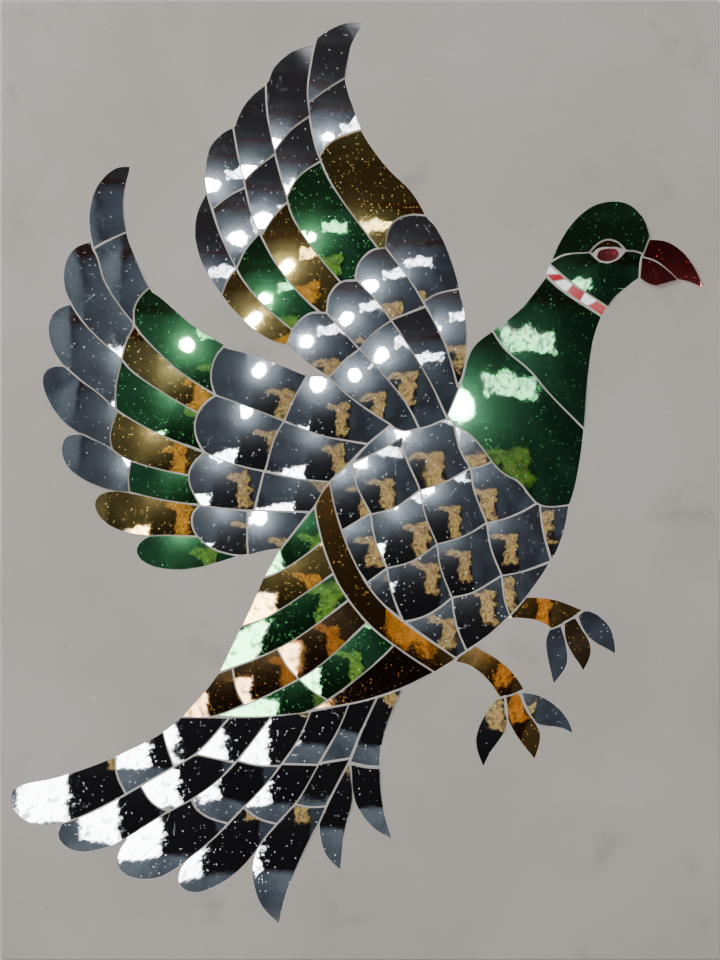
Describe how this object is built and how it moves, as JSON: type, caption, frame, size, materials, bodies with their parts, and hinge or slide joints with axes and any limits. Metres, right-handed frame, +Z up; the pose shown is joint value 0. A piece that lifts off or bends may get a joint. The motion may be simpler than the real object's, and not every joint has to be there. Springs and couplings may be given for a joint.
{
  "type": "mosaic panel",
  "caption": "Upright rectangular panel with a flying bird in mirror-glass mosaic, inlaid in a pale plaster ground on a flat backing board.",
  "frame": {"origin": "centre of the flat back, where it lies on the wall", "axes": "+Z up; +Y into the wall, so the picture faces -Y; +X to the right seen from the front"},
  "size_m": [0.457, 0.0175, 0.6096],
  "materials": {
    "backing_board": "plain board, matt, edges eased",
    "plaster_ground": "fine lime plaster, trowelled smooth, pale warm grey, matt",
    "upper_flight_1_tip": "thin silvered mirror glass, slightly domed, with small bubbles",
    "upper_flight_1_root": "thin mirror glass over amber, slightly domed",
    "upper_flight_2_tip": "thin silvered mirror glass, slightly domed, with small bubbles",
    "upper_flight_2_root": "thin mirror glass over green, slightly domed",
    "upper_flight_3_tip": "thin silvered mirror glass, slightly domed, with small bubbles",
    "upper_flight_3_root": "thin mirror glass over amber, slightly domed",
    "upper_flight_4_tip": "thin silvered mirror glass, slightly domed, with small bubbles",
    "upper_flight_4_root": "thin mirror glass over green, slightly domed",
    "upper_flight_5_tip": "thin silvered mirror glass, slightly domed, with small bubbles",
    "upper_flight_5_root": "thin mirror glass over amber, slightly domed",
    "upper_covert_1": "thin silvered mirror glass, slightly domed, with small bubbles",
    "upper_covert_2": "thin silvered mirror glass, slightly domed, with small bubbles",
    "upper_covert_3": "thin silvered mirror glass, slightly domed, with small bubbles",
    "upper_covert_4": "thin silvered mirror glass, slightly domed, with small bubbles",
    "lower_flight_1_tip": "thin silvered mirror glass, slightly domed, with small bubbles",
    "lower_flight_1_root": "thin mirror glass over green, slightly domed",
    "lower_flight_2_tip": "thin silvered mirror glass, slightly domed, with small bubbles",
    "lower_flight_2_root": "thin mirror glass over amber, slightly domed",
    "lower_flight_3_tip": "thin silvered mirror glass, slightly domed, with small bubbles",
    "lower_flight_3_root": "thin mirror glass over green, slightly domed",
    "lower_flight_4_tip": "thin silvered mirror glass, slightly domed, with small bubbles",
    "lower_flight_4_root": "thin mirror glass over amber, slightly domed",
    "lower_flight_5_tip": "thin silvered mirror glass, slightly domed, with small bubbles",
    "lower_flight_5_root": "thin mirror glass over green, slightly domed",
    "lower_flight_6": "thin mirror glass over amber, slightly domed",
    "lower_flight_7": "thin mirror glass over green, slightly domed",
    "lower_coverts": "thin silvered mirror glass, slightly domed, with small bubbles",
    "breast_scales": "thin silvered mirror glass, slightly domed, with small bubbles",
    "belt": "thin mirror glass over amber, slightly domed",
    "tail_bar_1": "thin mirror glass over green, slightly domed",
    "tail_bar_2": "thin mirror glass over amber, slightly domed",
    "tail_bar_3": "thin mirror glass over green, slightly domed",
    "tail_bar_4": "thin mirror glass over brown, slightly domed",
    "tail_bar_5": "thin mirror glass over green, slightly domed",
    "tail_bar_6": "thin mirror glass over brown, slightly domed",
    "tail_feather_1": "thin silvered mirror glass, slightly domed, with small bubbles",
    "tail_feather_2": "thin silvered mirror glass, slightly domed, with small bubbles",
    "tail_feather_3": "thin silvered mirror glass, slightly domed, with small bubbles",
    "tail_feather_4": "thin silvered mirror glass, slightly domed, with small bubbles",
    "tail_feather_5": "thin silvered mirror glass, slightly domed, with small bubbles",
    "tail_feather_6": "thin silvered mirror glass, slightly domed, with small bubbles",
    "tail_feather_7": "thin silvered mirror glass, slightly domed, with small bubbles",
    "chest": "thin mirror glass over green, slightly domed",
    "neck": "thin mirror glass over green, slightly domed",
    "collar": "small bits of mirror glass, white and red in turn",
    "crown": "thin mirror glass over green, slightly domed",
    "cheek": "thin mirror glass over green, slightly domed",
    "eyelid": "thin mirror glass over brown, slightly domed",
    "eye": "thin mirror glass over red, slightly domed",
    "beak": "thin mirror glass over red, slightly domed",
    "leg_1": "thin mirror glass over amber, slightly domed",
    "leg_2": "thin mirror glass over amber, slightly domed",
    "toe_1_back": "thin silvered mirror glass, slightly domed, with small bubbles",
    "toe_1_middle": "thin mirror glass over brown, slightly domed",
    "toe_1_front": "thin silvered mirror glass, slightly domed, with small bubbles",
    "toe_2_back": "thin silvered mirror glass, slightly domed, with small bubbles",
    "toe_2_middle": "thin mirror glass over amber, slightly domed",
    "toe_2_front": "thin silvered mirror glass, slightly domed, with small bubbles"
  },
  "bodies": {
    "root": {"backing_board": "backing_board", "plaster_ground": "plaster_ground", "upper_flight_1_tip": "upper_flight_1_tip", "upper_flight_1_root": "upper_flight_1_root", "upper_flight_2_tip": "upper_flight_2_tip", "upper_flight_2_root": "upper_flight_2_root", "upper_flight_3_tip": "upper_flight_3_tip", "upper_flight_3_root": "upper_flight_3_root", "upper_flight_4_tip": "upper_flight_4_tip", "upper_flight_4_root": "upper_flight_4_root", "upper_flight_5_tip": "upper_flight_5_tip", "upper_flight_5_root": "upper_flight_5_root", "upper_covert_1": "upper_covert_1", "upper_covert_2": "upper_covert_2", "upper_covert_3": "upper_covert_3", "upper_covert_4": "upper_covert_4", "lower_flight_1_tip": "lower_flight_1_tip", "lower_flight_1_root": "lower_flight_1_root", "lower_flight_2_tip": "lower_flight_2_tip", "lower_flight_2_root": "lower_flight_2_root", "lower_flight_3_tip": "lower_flight_3_tip", "lower_flight_3_root": "lower_flight_3_root", "lower_flight_4_tip": "lower_flight_4_tip", "lower_flight_4_root": "lower_flight_4_root", "lower_flight_5_tip": "lower_flight_5_tip", "lower_flight_5_root": "lower_flight_5_root", "lower_flight_6": "lower_flight_6", "lower_flight_7": "lower_flight_7", "lower_coverts": "lower_coverts", "breast_scales": "breast_scales", "belt": "belt", "tail_bar_1": "tail_bar_1", "tail_bar_2": "tail_bar_2", "tail_bar_3": "tail_bar_3", "tail_bar_4": "tail_bar_4", "tail_bar_5": "tail_bar_5", "tail_bar_6": "tail_bar_6", "tail_feather_1": "tail_feather_1", "tail_feather_2": "tail_feather_2", "tail_feather_3": "tail_feather_3", "tail_feather_4": "tail_feather_4", "tail_feather_5": "tail_feather_5", "tail_feather_6": "tail_feather_6", "tail_feather_7": "tail_feather_7", "chest": "chest", "neck": "neck", "collar": "collar", "crown": "crown", "cheek": "cheek", "eyelid": "eyelid", "eye": "eye", "beak": "beak", "leg_1": "leg_1", "leg_2": "leg_2", "toe_1_back": "toe_1_back", "toe_1_middle": "toe_1_middle", "toe_1_front": "toe_1_front", "toe_2_back": "toe_2_back", "toe_2_middle": "toe_2_middle", "toe_2_front": "toe_2_front"}
  },
  "joints": []
}
